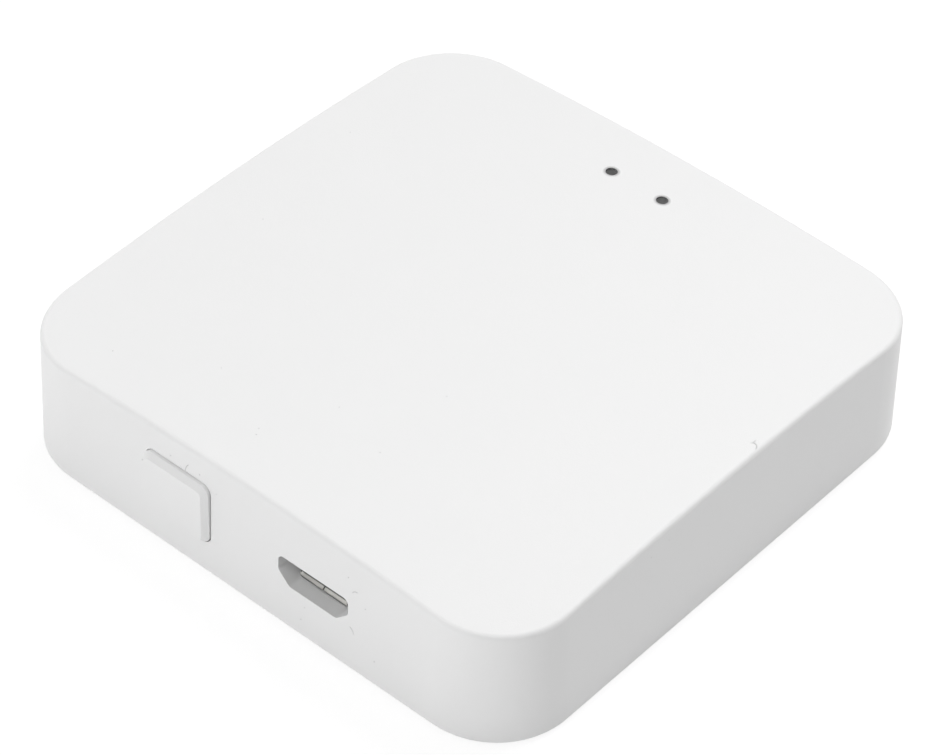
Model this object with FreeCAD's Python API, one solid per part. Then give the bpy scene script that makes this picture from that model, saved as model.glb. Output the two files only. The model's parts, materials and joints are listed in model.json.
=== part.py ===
import FreeCAD, Part
import math
import os

from FreeCAD import Vector

# A square smart-home radio gateway, 60 mm a side, that stands on a shelf and is fed through a
# micro-USB socket. X runs to the right along the front, Y runs from front to rear, Z is up.
# The origin is on the shelf under the middle of the casing. All sizes are in millimetres.
#
# The casing is a crowned cup with leaning walls and a flat base that clips into its rim. The base
# carries the circuit board. A button in the front wall presses a side-push switch on the board, and
# two clear rods carry the light of two lamps on the board up to the top of the casing.

# Casing, outside
body_side = 60.0
body_height = 14.9
corner_radius = 8.1
wall_draft_deg = 1.5
crown_radius = 366.0
crown_edge_radius = 0.45
rim_edge_radius = 0.4

# Casing, inside
side_wall = 1.5
top_wall = 1.6
ceiling_edge_radius = 0.8
rim_wall = 0.9
plate_gap = 0.12
seat_gap = 0.05

# Feet
foot_radius = 4.0
foot_thickness = 0.8
foot_recess = 0.5
foot_recess_gap = 0.1
foot_edge_radius = 0.2
foot_inset = 9.5

# Base plate
plate_thickness = 1.5
lip_height = 1.0
lip_thickness = 1.0
lip_gap = 0.15
rib_thickness = 0.8
rib_height = 0.8
rib_offset = 9.0
pry_width = 6.0
pry_depth = 0.7

# Snap hooks and their catches
hook_corner_gap = 1.4
hook_width = 5.0
hook_thickness = 1.0
hook_rise = 4.2
barb_reach = 0.5
barb_flat = 0.2
barb_slope = 0.9
catch_depth = 0.5
catch_flat = 0.4
catch_slope = 0.9
catch_margin = 0.3
hook_gap = 0.1

# Board and what holds it
board_thickness = 1.2
board_side_gap = 0.58
board_front_gap = 0.28
board_corner_radius = 3.5
standoff_height = 2.68
standoff_radius = 2.5
fixing_inset = 8.5
screw_radius = 1.0
screw_length = 3.5
screw_head_radius = 1.9
screw_head_height = 1.3
screw_drive_radius = 0.85
screw_drive_depth = 0.7
screw_pilot_radius = 0.8
screw_bore_spare = 0.2
screw_hole_gap = 0.1
pin_radius = 0.95
pin_rise = 1.8
pin_gap = 0.05
press_post_radius = 2.2
press_post_gap = 0.1

# Socket: the inside of its mouth, its sheet and the hole for it in the front wall
port_side_gap = 2.65
mouth_width = 6.9
mouth_height = 1.85
mouth_bevel = 0.97
mouth_corner = 0.3
mouth_setback = 1.55
socket_shift = -0.17
socket_sheet = 0.25
socket_length = 5.2
flare_reach = 0.2
flare_depth = 0.35
lip_width = 5.45
lip_corner = 0.3
port_clearance = 0.6
port_corner = 0.6
port_rise = 0.06
port_frame_wall = 0.8
port_frame_depth = 0.5
seam_width = 0.08
latch_width = 0.9
latch_length = 1.2
latch_spacing = 3.2
latch_setback = 1.6
leg_length = 1.0
leg_drop = 1.7
leg_slot_gap = 0.15
leg_setbacks = (2.1, 4.4)
block_depth = 1.7
tongue_width = 3.7
tongue_thickness = 0.65
tongue_drop = 0.35
tongue_setback = 1.2
contact_count = 5
contact_pitch = 0.65
contact_width = 0.25
contact_thickness = 0.12
contact_setback = 0.3
contact_tail = 0.9

# Button and the hole for it in the front wall
button_side_gap = 1.95
button_width = 7.7
button_top_margin = 3.04
button_low_margin = 3.75
button_corner = 0.95
button_gap = 0.1
button_rise = 0.055
button_proud = 0.7
button_bevel_side = 0.48
button_bevel_depth = 0.5
button_wall = 1.0
button_post_radius = 1.3
flange_reach = 0.7
flange_thickness = 0.8
flange_gap = 0.06
guide_thickness = 0.8
guide_depth = 1.1
guide_gap = 0.2

# Side-push switch
switch_width = 6.0
switch_depth = 3.2
switch_height = 3.5
switch_sheet = 0.2
switch_travel = 0.25
plunger_width = 2.6
plunger_height = 1.4
plunger_spare_reach = 0.5
plunger_gap = 0.08
plunger_collar = 0.3
plunger_collar_thickness = 0.45
switch_cavity_depth = 1.15
dome_thickness = 0.1
dome_radius = 1.0
switch_peg_radius = 0.35
switch_peg_length = 0.8
switch_peg_spacing = 4.0
switch_peg_gap = 0.06
terminal_width = 1.0
terminal_thickness = 0.2
terminal_reach = 0.8

# Lamps and light rods
lamp_spacing = 6.07
lamp_middle_x = -0.2
lamp_inset = 6.92
lamp_length = 2.0
lamp_width = 1.25
lamp_height = 0.8
lamp_lens_inset = 0.2
lamp_lens_height = 0.45
rod_tip_radius = 0.55
rod_tip_gap = 0.02
rod_tip_recess = 0.12
rod_body_radius = 1.2
rod_body_gap = 0.03
rod_foot_radius = 1.5
rod_foot_height = 1.2
rod_lamp_gap = 0.4
rod_tube_wall = 0.8
rod_tube_gap = 0.3
rod_seat_wall = 1.7

# Radio modules
module_gap = 3.2
module_width = 16.0
module_thickness = 0.8
module_edge_gap = 0.6
wifi_y = 7.5
zigbee_y = 4.0
pad_radius = 0.4
pad_pitch = 1.8
pad_count = 8
can_margin = 1.4
can_height = 2.2
can_sheet = 0.2
can_corner = 0.6
chip_side = 5.0
chip_height = 0.9
trace_width = 0.6
trace_thickness = 0.06
trace_turns = 4
trace_pitch = 2.4
trace_reach = 3.6
trace_margin = 0.9
trace_gap = 0.7

# Power parts and small parts on the board
regulator_length = 6.5
regulator_width = 3.5
regulator_height = 1.6
regulator_side_gap = 9.7
regulator_front_gap = 12.0
lead_width = 0.7
lead_thickness = 0.25
lead_reach = 1.5
lead_pitch = 2.3
tab_width = 3.0
coil_side = 4.0
coil_height = 2.0
coil_corner = 0.8
coil_gap = 3.2
coil_front_gap = 10.0
capacitor_radius = 2.5
capacitor_height = 4.6
capacitor_foot_side = 5.3
capacitor_foot_height = 0.8
capacitor_groove = 0.2
capacitor_x = 0.0
capacitor_rear_gap = 0.9
diode_length = 4.3
diode_width = 2.6
diode_height = 2.0
diode_gap = 1.65
diode_rear_gap = 0.9
chip_part_length = 1.6
chip_part_width = 0.8
chip_part_height = 0.7
chip_part_pitch = 2.6
ceramic_count = 6
ceramic_first_x = 3.4
ceramic_front_gap = 17.0
resistor_count = 6
resistor_first_x = -16.0
resistor_front_gap = 17.0
embed = 0.4

# Levels and places that follow from the sizes above
foot_stand = foot_thickness - foot_recess
rim_z = foot_stand
half_side = body_side / 2
apex_z = rim_z + body_height

UP = Vector(0, 0, 1)
BACK = Vector(0, 1, 0)
ORIGIN = Vector(0, 0, 0)


def lean(z):
    """How far the walls have leaned in at a height, counted from the rim."""
    return math.tan(math.radians(wall_draft_deg)) * (z - rim_z)


def outer_face(z):
    return half_side - lean(z)


def inner_face(z):
    return outer_face(z) - side_wall


def crown_z(x, y, sink=0.0):
    """Height of the crowned top over a point, or of a surface that lies a distance under it."""
    radius = crown_radius - sink
    return apex_z - crown_radius + math.sqrt(radius**2 - x**2 - y**2)


plate_top = rim_z + plate_thickness
board_low = plate_top + standoff_height
board_top = board_low + board_thickness
mouth_z = board_top + socket_sheet + mouth_height / 2
port_low = mouth_z - mouth_height / 2 - port_clearance + port_rise
catch_top = plate_top + hook_rise - barb_slope - barb_flat - seat_gap
foot_place = half_side - foot_inset
hook_offset = half_side - corner_radius - hook_corner_gap - hook_width / 2
hook_edge = hook_offset - hook_width / 2
hook_outside = inner_face(catch_top) - catch_depth - hook_gap
hook_inside = hook_outside - hook_thickness
port_x = hook_edge - port_side_gap - port_frame_wall - port_clearance - mouth_width / 2
socket_x = port_x + socket_shift
flange_half = button_width / 2 + flange_reach
button_x = -(hook_edge - button_side_gap - guide_thickness - guide_gap - flange_half)
fixing_place = half_side - fixing_inset
board_side = hook_inside - board_side_gap
board_front = -(hook_inside - board_front_gap)
lamp_y = half_side - lamp_inset
module_length = board_side - module_edge_gap - module_gap / 2
can_length = module_length - can_margin - trace_gap - trace_reach - trace_margin
regulator_x = board_side - regulator_side_gap
regulator_y = board_front + regulator_front_gap
coil_x = regulator_x - regulator_length / 2 - coil_gap - coil_side / 2
coil_y = board_front + coil_front_gap
diode_x = fixing_place - press_post_radius - diode_gap - diode_length / 2
ceramic_y = board_front + ceramic_front_gap
resistor_y = board_front + resistor_front_gap
lamp_places = [lamp_middle_x - lamp_spacing / 2, lamp_middle_x + lamp_spacing / 2]
rod_low = board_top + lamp_height + rod_lamp_gap
tube_low = rod_low + rod_foot_height + rod_tube_gap
button_low = rim_z + button_low_margin
button_top = crown_z(button_x, half_side) - button_top_margin
button_height = button_top - button_low
button_z = (button_low + button_top) / 2


def box(x_low, x_high, y_low, y_high, z_low, z_high):
    corner = Vector(x_low, y_low, z_low)
    return Part.makeBox(x_high - x_low, y_high - y_low, z_high - z_low, corner)


def upright(radius, x, y, z_low, z_high):
    return Part.makeCylinder(radius, z_high - z_low, Vector(x, y, z_low), UP)


def fuse(shapes):
    return shapes[0].multiFuse(shapes[1:]).removeSplitter() if shapes[1:] else shapes[0]


def turned(shape, degrees):
    copy = shape.copy()
    copy.rotate(ORIGIN, UP, degrees)
    return copy


def grown(points, distance):
    """A convex outline, counter-clockwise, moved outwards by a distance."""
    sides = []
    for (x0, y0), (x1, y1) in zip(points, points[1:] + points[:1]):
        length = math.hypot(x1 - x0, y1 - y0)
        nx, ny = (y1 - y0) / length, (x0 - x1) / length
        sides.append((nx, ny, nx * x0 + ny * y0 + distance))
    corners = []
    for (a, b, c), (d, e, f) in zip(sides[-1:] + sides[:-1], sides):
        det = a * e - b * d
        corners.append(((c * e - b * f) / det, (a * f - c * d) / det))
    return corners


def rounded_wire(points, radius, place):
    """A closed outline with its corners rounded. place turns a flat point into one in space."""
    edges, stops = [], []
    for before, here, after in zip(points[-1:] + points[:-1], points, points[1:] + points[:1]):
        p = Vector(here[0], here[1], 0)
        a = (Vector(before[0], before[1], 0) - p).normalize()
        b = (Vector(after[0], after[1], 0) - p).normalize()
        half = a.getAngle(b) / 2
        middle = (a + b).normalize()
        reach = radius / math.tan(half)
        centre = p + middle * (radius / math.sin(half))
        stops.append((p + a * reach, centre - middle * radius, p + b * reach))
    for (start, bulge, end), (following, _, _) in zip(stops, stops[1:] + stops[:1]):
        edges.append(Part.Arc(place(start), place(bulge), place(end)).toShape())
        edges.append(Part.LineSegment(place(end), place(following)).toShape())
    return Part.Wire(edges)


def flat_outline(points, radius, z):
    return rounded_wire(points, radius, lambda p: Vector(p.x, p.y, z))


def front_outline(points, radius, y):
    return rounded_wire(points, radius, lambda p: Vector(p.x, y, p.y))


def slab(points, radius, z_low, z_high):
    return Part.Face(flat_outline(points, radius, z_low)).extrude(UP * (z_high - z_low))


def front_slab(points, radius, y_front, y_rear):
    return Part.Face(front_outline(points, radius, y_front)).extrude(BACK * (y_rear - y_front))


def rectangle(x, y, width, height):
    return [
        (x - width / 2, y - height / 2),
        (x + width / 2, y - height / 2),
        (x + width / 2, y + height / 2),
        (x - width / 2, y + height / 2),
    ]


def side_profile(points, x_low, x_high):
    """A straight-sided shape drawn in Y and Z and drawn out along X."""
    wire = Part.makePolygon([Vector(x_low, y, z) for y, z in points + points[:1]])
    return Part.Face(wire).extrude(Vector(x_high - x_low, 0, 0))


def frustum(x_low, y_low, x_high, y_high, z_low, z_high):
    """A block with flat sides that may lean. Each pair gives where it starts and ends."""
    wedge = Part.makeWedge(
        x_low[0], z_low, -y_low[1], -y_high[1], x_high[0],
        x_low[1], z_high, -y_low[0], -y_high[0], x_high[1],
    )
    wedge.rotate(ORIGIN, Vector(1, 0, 0), 90)
    return wedge


def leaning_block(sink, z_low, z_high):
    """The casing's outline as a solid, set in by a distance, with walls at the casing's draft."""
    straight = half_side - corner_radius
    low = half_side - sink - lean(z_low)
    high = half_side - sink - lean(z_high)
    across = (-straight, straight)
    blocks = [frustum((-low, low), across, (-high, high), across, z_low, z_high)]
    side = frustum(across, (straight, low), across, (straight, high), z_low, z_high)
    corner = Part.makeCone(
        low - straight, high - straight, z_high - z_low, Vector(straight, straight, z_low), UP, 90
    )
    for quarter in range(4):
        blocks.append(turned(corner, 90 * quarter))
    blocks.append(side)
    blocks.append(turned(side, 180))
    return fuse(blocks)


def crown_ball(sink):
    centre = Vector(0, 0, apex_z - crown_radius)
    ball = Part.makeSphere(crown_radius - sink, centre)
    ball.rotate(centre, Vector(1, 0, 0), 90)
    return ball


def crowned_block(sink, crown_sink, z_low, edge_radius):
    """The casing's outline under its crown, with the edge all round the crown rounded."""
    block = leaning_block(sink, z_low, apex_z + 1).common(crown_ball(crown_sink))
    crown = [f for f in block.Faces if isinstance(f.Surface, Part.Sphere)][0]
    return block.makeFillet(edge_radius, crown.Edges)


def plain_outline(sink):
    """The casing's outline at the rim, set in by a distance."""
    side = 2 * (half_side - sink)
    return rectangle(0, 0, side, side), corner_radius - sink


def quarters(make):
    """The same piece at both places along each of the four walls, drawn for the rear wall."""
    pieces = [make(-hook_offset), make(hook_offset)]
    return [turned(piece, 90 * quarter) for quarter in range(4) for piece in pieces]


def mouth_shape(middle, growth):
    """The form of the socket's mouth, wide at the top with bevels below, seen from the front."""
    half_width = mouth_width / 2
    low, high = mouth_z - mouth_height / 2, mouth_z + mouth_height / 2
    points = [
        (middle - half_width + mouth_bevel, low),
        (middle + half_width - mouth_bevel, low),
        (middle + half_width, low + mouth_bevel),
        (middle + half_width, high),
        (middle - half_width, high),
        (middle - half_width, low + mouth_bevel),
    ]
    return grown(points, growth)


def mouth_outline(growth):
    return mouth_shape(socket_x, growth)


def port_outline(growth):
    """The opening in the front wall, which leaves room all round the socket's mouth."""
    return [(x, z + port_rise) for x, z in mouth_shape(port_x, port_clearance + growth)]


mouth_front = -(outer_face(port_low) - mouth_setback)
throat = mouth_front + flare_depth
socket_rear = mouth_front + socket_length
port_rear = mouth_front + port_frame_depth
diode_y = socket_rear + diode_rear_gap + diode_width / 2
capacitor_y = socket_rear + capacitor_rear_gap + capacitor_foot_side / 2
button_face = -(outer_face(button_z) + button_proud)
flange_front = -(inner_face(button_z + button_height / 2 + flange_reach) - flange_gap)
flange_rear = flange_front + flange_thickness
switch_front = flange_rear + switch_travel + plunger_spare_reach
switch_rear = switch_front + switch_depth
switch_z = board_top + switch_height / 2


def catch(x):
    """A ledge on the casing's rear wall that a hook's barb rests over."""
    edge = inner_face(catch_top) - catch_depth
    into_wall = inner_face(catch_top) + embed
    points = [
        (into_wall, catch_top),
        (edge, catch_top),
        (edge, catch_top - catch_flat),
        (into_wall, catch_top - catch_flat - catch_slope),
    ]
    half = hook_width / 2 + catch_margin
    return side_profile(points, x - half, x + half)


def port_hole():
    return front_slab(port_outline(0), port_corner, -half_side - 1, port_rear + 1)


def port_frame():
    """A frame behind the front wall that makes the opening deeper than the wall is thick."""
    corner = port_corner + port_frame_wall
    front = -(inner_face(mouth_z) + embed)
    return front_slab(port_outline(port_frame_wall), corner, front, port_rear)


def button_outline(growth, drop=0.0):
    width, height = button_width + 2 * growth, button_height + 2 * growth
    return rectangle(button_x, button_z - drop, width, height)


def button_hole():
    """The hole round the key, which rests a little high in it."""
    rear = -(inner_face(rim_z) - 1)
    corner = button_corner + button_gap
    return front_slab(button_outline(button_gap, button_rise), corner, -half_side - 1, rear)


def button_guides():
    """Two ribs on the front wall, one each side of the button's flange."""
    reach = flange_half + guide_gap
    wall = -inner_face(board_top)
    low = board_low
    high = button_z + button_height / 2
    guides = []
    for near in (button_x - reach - guide_thickness, button_x + reach):
        far = near + guide_thickness
        guides.append(box(near, far, wall - embed, wall + guide_depth, low, high))
    return guides


def rod_seat(x):
    """The level in the casing's top where a light rod's shoulder stops."""
    return crown_z(x, lamp_y) - rod_seat_wall


def rod_tube(x):
    radius = rod_body_radius + rod_body_gap + rod_tube_wall
    top = crown_z(x, lamp_y, top_wall) + embed
    return upright(radius, x, lamp_y, tube_low, top)


def rod_bore(x):
    seat = rod_seat(x)
    wide = upright(rod_body_radius + rod_body_gap, x, lamp_y, tube_low - 1, seat)
    narrow = upright(rod_tip_radius + rod_tip_gap, x, lamp_y, seat - embed, apex_z + 1)
    return wide.fuse(narrow)


def fixing_corners():
    """Board corners: the first two take screws and the other two sit on pins."""
    d = fixing_place
    return [(-d, -d), (d, d)], [(d, -d), (-d, d)]


def press_post(x, y):
    """A post under the casing's top that keeps the board down on its locating pin."""
    top = crown_z(x, y, top_wall) + embed
    post = upright(press_post_radius, x, y, board_top + press_post_gap, top)
    bore_top = board_low + pin_rise + pin_gap
    return post.cut(upright(pin_radius + 2 * pin_gap, x, y, board_top, bore_top))


def top_shell():
    """The crowned cup: top and four walls moulded in one piece, with everything on its inside."""
    block = crowned_block(0, 0, rim_z, crown_edge_radius)
    rim = [f for f in block.Faces if f.BoundBox.ZMax < rim_z + 0.01][0]
    block = block.makeFillet(rim_edge_radius, rim.Edges)
    cavity = crowned_block(side_wall, top_wall, rim_z - 1, ceiling_edge_radius)
    points, radius = plain_outline(rim_wall)
    rebate = slab(points, radius, rim_z - 1, plate_top + seat_gap)
    shell = block.cut(cavity.fuse(rebate))
    posts = [press_post(x, y) for x, y in fixing_corners()[1]]
    tubes = [rod_tube(x) for x in lamp_places]
    shell = fuse([shell] + quarters(catch) + posts + tubes + button_guides() + [port_frame()])
    holes = [rod_bore(x) for x in lamp_places]
    return shell.cut(fuse(holes + [port_hole(), button_hole()]))


def hook(x):
    """A springy arm on the base plate with a barb that catches over a ledge on the rear wall."""
    top = plate_top + hook_rise
    barb_low = catch_top + seat_gap
    points = [
        (hook_inside, plate_top - embed),
        (hook_outside, plate_top - embed),
        (hook_outside, barb_low),
        (hook_outside + barb_reach, barb_low),
        (hook_outside + barb_reach, barb_low + barb_flat),
        (hook_outside, top),
        (hook_inside, top),
    ]
    return side_profile(points, x - hook_width / 2, x + hook_width / 2)


def lip():
    """A low wall on the base plate that centres it in the casing, open behind the button."""
    outside = side_wall + lean(plate_top + lip_height) + lip_gap
    points, radius = plain_outline(outside)
    inner_points, inner_radius = plain_outline(outside + lip_thickness)
    low, high = plate_top - embed, plate_top + lip_height
    ring = slab(points, radius, low, high).cut(slab(inner_points, inner_radius, low - 1, high + 1))
    reach = flange_half + guide_gap + guide_thickness + guide_gap
    gap = box(button_x - reach, button_x + reach, -half_side, board_front, plate_top, high + 1)
    return ring.cut(gap)


def standoff(x, y):
    return upright(standoff_radius, x, y, plate_top - embed, board_low)


def locating_pin(x, y):
    pin = upright(pin_radius, x, y, plate_top, board_low + pin_rise)
    tip = [e for e in pin.Edges if e.BoundBox.ZMin > board_low + pin_rise - 0.01]
    return pin.makeChamfer(pin_radius / 4, tip)


def base_ribs():
    """Four low ribs that stiffen the middle of the base plate."""
    reach = fixing_place - standoff_radius
    low, high = plate_top - embed, plate_top + rib_height
    ribs = []
    for centre in (-rib_offset, rib_offset):
        near, far = centre - rib_thickness / 2, centre + rib_thickness / 2
        ribs.append(box(-reach, reach, near, far, low, high))
        ribs.append(box(near, far, -reach, reach, low, high))
    return ribs


def base_plate():
    """The flat base, flush with the rim, with clips, standoffs and pins for the board."""
    points, radius = plain_outline(rim_wall + plate_gap)
    plate = slab(points, radius, rim_z, plate_top)
    screws, pins = fixing_corners()
    parts = [plate, lip()] + quarters(hook) + base_ribs()
    parts += [standoff(x, y) for x, y in screws + pins]
    parts += [locating_pin(x, y) for x, y in pins]
    plate = fuse(parts)
    recess = foot_radius + foot_recess_gap
    holes = [upright(recess, x, y, rim_z - 1, rim_z + foot_recess) for x, y in foot_centres()]
    bore_end = board_low - (screw_length - board_thickness) - screw_bore_spare
    holes += [upright(screw_pilot_radius, x, y, bore_end, board_low + 1) for x, y in screws]
    rear = half_side - rim_wall - plate_gap
    half_pry = pry_width / 2
    holes.append(box(-half_pry, half_pry, rear - pry_depth, rear + 1, rim_z - 1, rim_z + pry_depth))
    return plate.cut(fuse(holes))


def foot_centres():
    d = foot_place
    return [(-d, -d), (d, -d), (-d, d), (d, d)]


def foot(x, y):
    pad = upright(foot_radius, x, y, 0, foot_thickness)
    edge = [e for e in pad.Edges if e.BoundBox.ZMax < 0.01]
    return pad.makeFillet(foot_edge_radius, edge)


def button_cap():
    """A bevelled key, hollow behind, with a flange that keeps it in and a post for the switch."""
    straight = button_face + button_bevel_depth
    key = front_slab(button_outline(0), button_corner, straight, flange_rear)
    face = front_outline(button_outline(-button_bevel_side), button_corner / 2, button_face)
    base = front_outline(button_outline(0), button_corner, straight)
    bevel = Part.makeLoft([face, base], True, True)
    flange = front_slab(button_outline(flange_reach), button_corner, flange_front, flange_rear)
    hollow_front = button_face + button_bevel_depth + button_wall
    inside = button_outline(-button_wall)
    hollow = front_slab(inside, button_corner / 2, hollow_front, flange_rear + 1)
    post_length = flange_rear - hollow_front + embed
    start = Vector(button_x, hollow_front - embed, switch_z)
    post = Part.makeCylinder(button_post_radius, post_length, start, BACK)
    return fuse([fuse([key, bevel, flange]).cut(hollow), post])


def switch_window(spare, front, rear):
    """A block round the plunger's path, larger than its section by a distance on each side."""
    half_x = plunger_width / 2 + spare
    half_z = plunger_height / 2 + spare
    across = button_x - half_x, button_x + half_x
    return box(*across, front, rear, switch_z - half_z, switch_z + half_z)


def switch_places():
    return [button_x - switch_peg_spacing / 2, button_x + switch_peg_spacing / 2]


def switch_peg_y():
    return (switch_front + switch_rear) / 2 + switch_cavity_depth / 2


def switch_base():
    """The switch's moulded body, with a pocket for the plunger and two pegs into the board."""
    half = switch_width / 2 - switch_sheet
    top = board_top + switch_height - switch_sheet
    body = box(button_x - half, button_x + half, switch_front, switch_rear, board_top, top)
    pocket_rear = switch_front + switch_cavity_depth
    pocket = switch_window(plunger_collar + plunger_gap, switch_front - 1, pocket_rear)
    low, high = board_top - switch_peg_length, board_top + embed
    pegs = [upright(switch_peg_radius, x, switch_peg_y(), low, high) for x in switch_places()]
    slots = [terminal(side) for side in (-1, 1)]
    return fuse([body.cut(pocket)] + pegs).cut(fuse(slots))


def switch_cover():
    """A folded sheet over the front, top and sides of the switch, with a window for the plunger."""
    half = switch_width / 2
    top = board_top + switch_height
    outside = box(
        button_x - half, button_x + half, switch_front - switch_sheet, switch_rear, board_top, top
    )
    inside = box(
        button_x - half + switch_sheet, button_x + half - switch_sheet,
        switch_front, switch_rear + 1, board_top - 1, top - switch_sheet,
    )
    window = switch_window(plunger_gap, switch_front - 1, switch_front + embed)
    sides = box(
        button_x - half - 1, button_x + half + 1,
        switch_peg_y() - terminal_width / 2, switch_peg_y() + terminal_width / 2,
        board_top - 1, board_top + 2 * terminal_thickness,
    )
    return outside.cut(inside).cut(window).cut(sides)


def switch_plunger():
    """The moving tip of the switch, which the button's post touches."""
    tip = switch_window(0, flange_rear, switch_front + embed)
    collar_rear = switch_front + plunger_collar_thickness
    return fuse([tip, switch_window(plunger_collar, switch_front, collar_rear)])


def switch_dome():
    """The snap spring behind the plunger, a thin dished disc that stands in the pocket's rear."""
    rise = switch_cavity_depth - plunger_collar_thickness
    bend = (dome_radius**2 + rise**2) / (2 * rise)
    rear = switch_front + switch_cavity_depth
    centre = Vector(button_x, rear - rise + bend, switch_z)
    ball = Part.makeSphere(bend, centre, BACK)
    inner = Part.makeSphere(bend - dome_thickness, centre, BACK)
    cut = Part.makeCylinder(dome_radius, rise, Vector(button_x, rear - rise, switch_z), BACK)
    return ball.cut(inner).common(cut)


def terminal(side):
    """A solder foot that comes out of the switch's side at board level."""
    inner = button_x + side * (switch_width / 2 - terminal_reach)
    outer = button_x + side * (switch_width / 2 + terminal_reach)
    y = switch_peg_y()
    return box(
        min(inner, outer), max(inner, outer), y - terminal_width / 2, y + terminal_width / 2,
        board_top, board_top + terminal_thickness,
    )


def leg_boxes(gap):
    """The socket's four legs, or with a gap the slots for them in the board."""
    drop = leg_drop if gap == 0 else leg_drop + 1
    half = mouth_width / 2
    top = mouth_z - mouth_height / 2 + mouth_bevel + embed if gap == 0 else board_top + embed
    boxes = []
    for setback in leg_setbacks:
        front = mouth_front + setback - leg_length / 2
        for inner in (socket_x - half - socket_sheet, socket_x + half):
            boxes.append(box(
                inner - gap, inner + socket_sheet + gap, front - gap, front + leg_length + gap,
                board_top - drop, top,
            ))
    return boxes


def usb_shell():
    """The socket's shell, rolled from sheet with its seam below, with two lips, on four legs."""
    outer = mouth_corner + socket_sheet
    tube = front_slab(mouth_outline(socket_sheet), outer, throat, socket_rear)
    tube = tube.cut(front_slab(mouth_outline(0), mouth_corner, throat - 1, socket_rear + 1))
    lips = Part.makeLoft([
        front_outline(mouth_outline(socket_sheet + flare_reach), outer, mouth_front),
        front_outline(mouth_outline(socket_sheet), outer, throat),
    ], True, True)
    funnel = Part.makeLoft([
        front_outline(mouth_outline(flare_reach), mouth_corner, mouth_front),
        front_outline(mouth_outline(0), mouth_corner, throat),
    ], True, True)
    lips = lips.cut(funnel)
    low, high = mouth_z - mouth_height / 2, mouth_z + mouth_height / 2
    front, far = mouth_front - 1, mouth_width
    for side in (-1, 1):
        for half, top in ((lip_width / 2, high), (mouth_width / 2 - lip_corner, high + 1)):
            ends = sorted((socket_x + side * half, socket_x + side * far))
            lips = lips.cut(box(*ends, front, throat, low - 1, top))
    shell = fuse([tube, lips] + leg_boxes(0))
    near, far = socket_x - seam_width / 2, socket_x + seam_width / 2
    cuts = [box(near, far, front, socket_rear + 1, low - 1, low + embed / 2)]
    for side in (-1, 1):
        near = socket_x + side * latch_spacing / 2 - latch_width / 2
        y = throat + latch_setback
        cuts.append(
            box(near, near + latch_width, y, y + latch_length, high - embed / 2, high + 1)
        )
    return shell.cut(fuse(cuts))


def contact(index):
    """One spring contact: under the tongue, back through the block, down to a foot on the board."""
    x = socket_x + contact_pitch * (index - (contact_count - 1) / 2)
    top = mouth_z + mouth_height / 2 - tongue_drop - tongue_thickness
    low = board_top + contact_thickness
    front = mouth_front + tongue_setback + contact_setback
    rear = socket_rear + contact_thickness
    points = [
        (front, top), (front, top - contact_thickness), (socket_rear, top - contact_thickness),
        (socket_rear, board_top), (rear + contact_tail, board_top), (rear + contact_tail, low),
        (rear, low), (rear, top),
    ]
    return side_profile(points, x - contact_width / 2, x + contact_width / 2)


def usb_insulator():
    """The block at the rear of the socket and the tongue that carries the contacts."""
    block = front_slab(mouth_outline(0), mouth_corner, socket_rear - block_depth, socket_rear)
    top = mouth_z + mouth_height / 2 - tongue_drop
    tongue = box(
        socket_x - tongue_width / 2, socket_x + tongue_width / 2,
        mouth_front + tongue_setback, socket_rear - block_depth + embed,
        top - tongue_thickness, top,
    )
    return fuse([block, tongue]).cut(fuse([contact(i) for i in range(contact_count)]))


def main_board():
    """The circuit board, with its fixing holes and the slots and holes for socket and switch."""
    points = [
        (-board_side, board_front), (board_side, board_front),
        (board_side, board_side), (-board_side, board_side),
    ]
    board = slab(points, board_corner_radius, board_low, board_top)
    screws, pins = fixing_corners()
    low, high = board_low - 1, board_top + 1
    holes = [upright(screw_radius + screw_hole_gap, x, y, low, high) for x, y in screws]
    holes += [upright(pin_radius + pin_gap, x, y, low, high) for x, y in pins]
    peg = switch_peg_radius + switch_peg_gap
    holes += [upright(peg, x, switch_peg_y(), low, high) for x in switch_places()]
    return board.cut(fuse(holes + leg_boxes(leg_slot_gap)))


def board_screw(x, y):
    """A self-tapping pan-head screw through the board, with a cross drive. Its thread is plain."""
    shank = upright(screw_pilot_radius, x, y, board_top - screw_length, board_top)
    head = upright(screw_head_radius, x, y, board_top, board_top + screw_head_height)
    rim = [e for e in head.Edges if e.BoundBox.ZMin > board_top + screw_head_height - 0.01]
    head = head.makeFillet(screw_head_height / 2, rim)
    low, high = board_top + screw_head_height - screw_drive_depth, board_top + screw_head_height + 1
    arm, slit = screw_drive_radius, screw_drive_radius / 4
    across = box(x - arm, x + arm, y - slit, y + slit, low, high)
    along = box(x - slit, x + slit, y - arm, y + arm, low, high)
    return fuse([shank, head]).cut(across.fuse(along))


def lamp(x):
    """A surface-mounted lamp: a flat case with a raised clear window."""
    top = board_top + lamp_height
    case_size = lamp_length, lamp_width
    case = slab(rectangle(x, lamp_y, *case_size), 0.1, board_top, top - lamp_lens_height)
    lens_size = lamp_length - 4 * lamp_lens_inset, lamp_width - lamp_lens_inset
    lens = slab(rectangle(x, lamp_y, *lens_size), 0.1, board_top, top)
    return fuse([case, lens])


def light_rod(x):
    """A clear rod that carries a lamp's light to the top of the casing."""
    seat = rod_seat(x)
    tip_top = crown_z(x, lamp_y) - rod_tip_recess
    profile = [
        (0, rod_low), (rod_foot_radius, rod_low), (rod_foot_radius, rod_low + rod_foot_height / 2),
        (rod_body_radius, rod_low + rod_foot_height), (rod_body_radius, seat),
        (rod_tip_radius, seat), (rod_tip_radius, tip_top), (0, tip_top), (0, rod_low),
    ]
    wire = Part.makePolygon([Vector(x + r, lamp_y, z) for r, z in profile])
    return Part.Face(wire).revolve(Vector(x, lamp_y, 0), UP, 360)


def module_middle(side):
    return side * (board_side - module_edge_gap - module_length / 2)


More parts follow.
